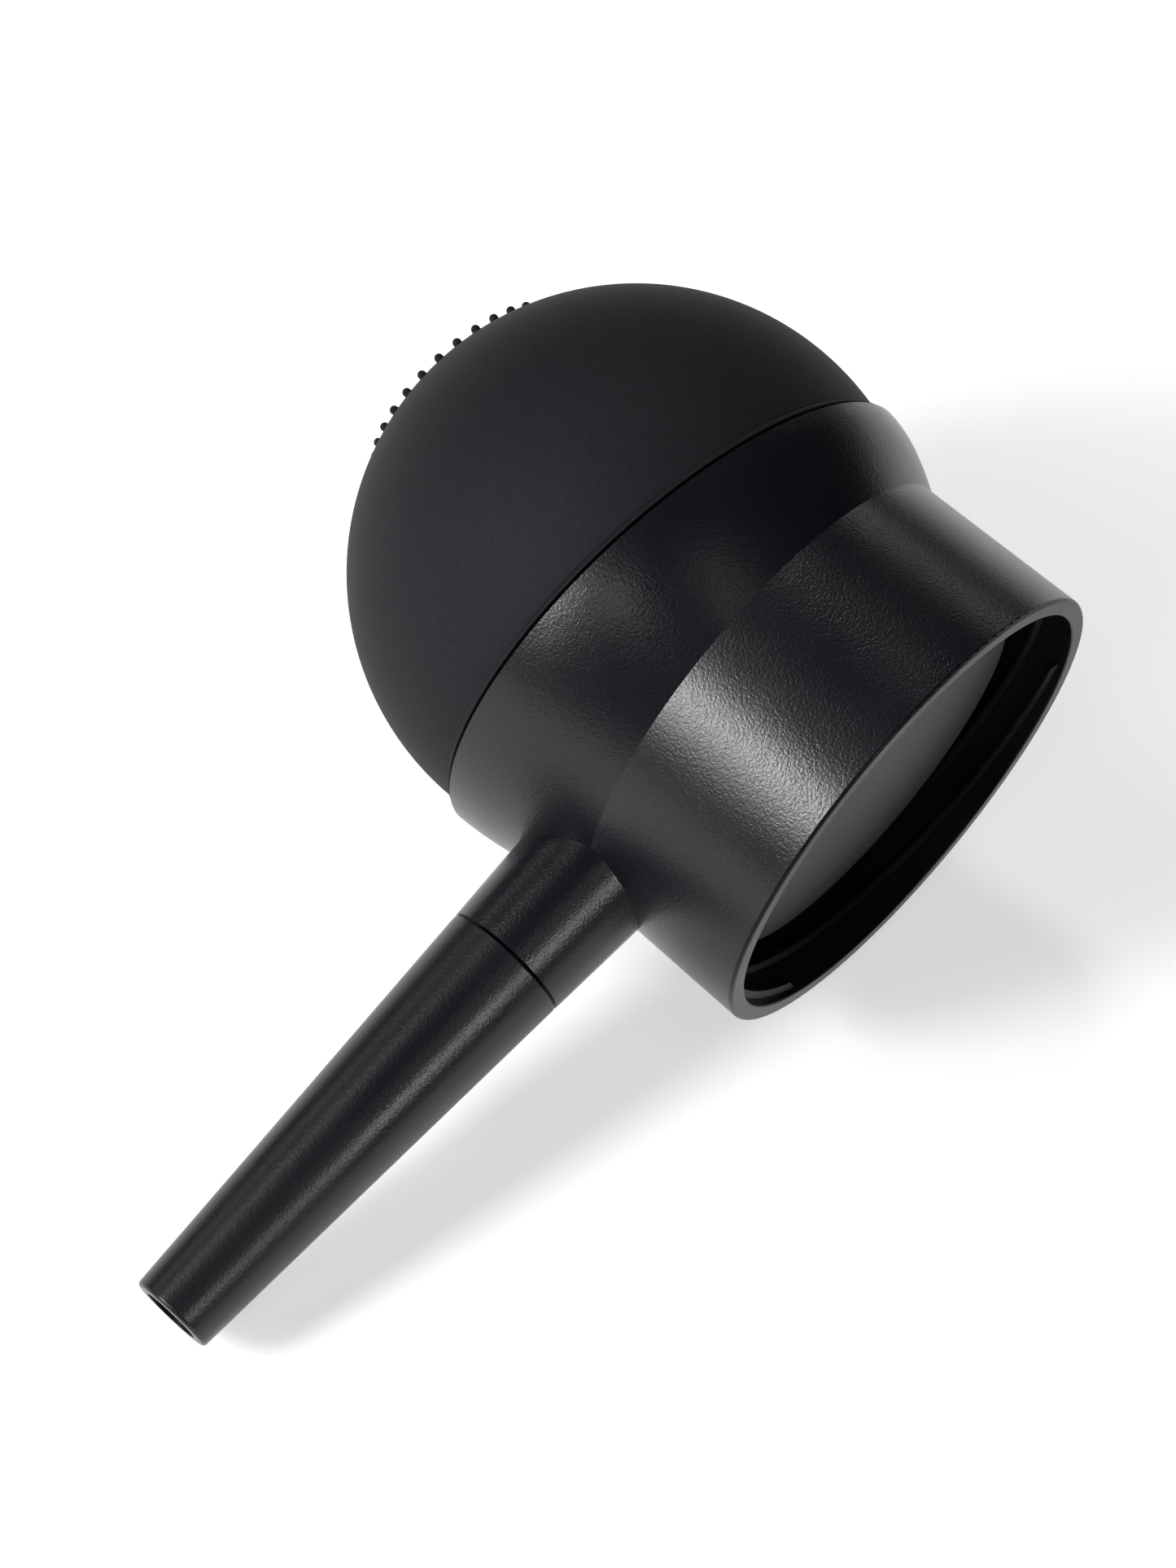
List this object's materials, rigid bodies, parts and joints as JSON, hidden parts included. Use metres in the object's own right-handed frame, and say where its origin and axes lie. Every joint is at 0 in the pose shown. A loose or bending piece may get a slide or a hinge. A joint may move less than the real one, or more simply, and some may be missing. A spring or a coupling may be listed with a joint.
{
  "type": "hair fibre applicator pump",
  "caption": "Squeeze-bulb applicator pump for hair-building fibres: rubber bulb on a black plastic body with a threaded bottle neck and a long tapered side nozzle.",
  "frame": {"origin": "centre of the neck's rim face, where the bottle goes in", "axes": "+Z along the neck up to the bulb, the nozzle along -X"},
  "size_m": [0.098, 0.0502, 0.0568],
  "materials": {
    "body_plastic": "satin black moulded plastic with a fine leather grain",
    "nozzle_plastic": "satin black moulded plastic with a leather grain",
    "bulb_rubber": "matt black soft rubber",
    "plug_plastic": "smooth black plastic",
    "inner_plastic": "natural grey plastic",
    "valve_silicone": "translucent silicone",
    "hose_silicone": "translucent silicone",
    "seal_rubber": "black rubber",
    "filter_foam": "open-cell foam",
    "screen_steel": "etched stainless sheet",
    "screw_steel": "zinc-plated steel"
  },
  "bodies": {
    "pump": {"pump_body": "body_plastic", "valve_plate": "inner_plastic", "plate_screws": "screw_steel", "intake_filter": "filter_foam", "outlet_cup": "inner_plastic", "air_hose": "hose_silicone", "air_jet": "inner_plastic", "feed_plug": "plug_plastic", "feed_screen": "screen_steel", "discharge_elbow": "inner_plastic", "elbow_seal": "seal_rubber", "plug_seal": "seal_rubber", "bottle_gasket": "seal_rubber"},
    "bulb": {"squeeze_bulb": "bulb_rubber"},
    "intake": {"intake_flap": "valve_silicone"},
    "outlet": {"outlet_disc": "valve_silicone"},
    "nozzle": {"nozzle_tube": "nozzle_plastic", "nozzle_ring": "seal_rubber"}
  },
  "joints": [
    {"name": "bulb_press", "type": "slide", "parent": "pump", "child": "bulb", "axis": [-0.1326, 0, -0.9912], "range_m": [0, 0.012], "stiffness_N_per_m": 600, "deforming": ["squeeze_bulb"]},
    {"name": "intake_lift", "type": "slide", "parent": "pump", "child": "intake", "axis": [0.1326, 0, 0.9912], "range_m": [0, 0.0008], "stiffness_N_per_m": 20},
    {"name": "outlet_lift", "type": "slide", "parent": "pump", "child": "outlet", "axis": [-0.1326, 0, -0.9912], "range_m": [0, 0.0008], "stiffness_N_per_m": 10},
    {"name": "nozzle_pull", "type": "slide", "parent": "pump", "child": "nozzle", "axis": [-1, 0, 0], "range_m": [0, 0.007]}
  ]
}
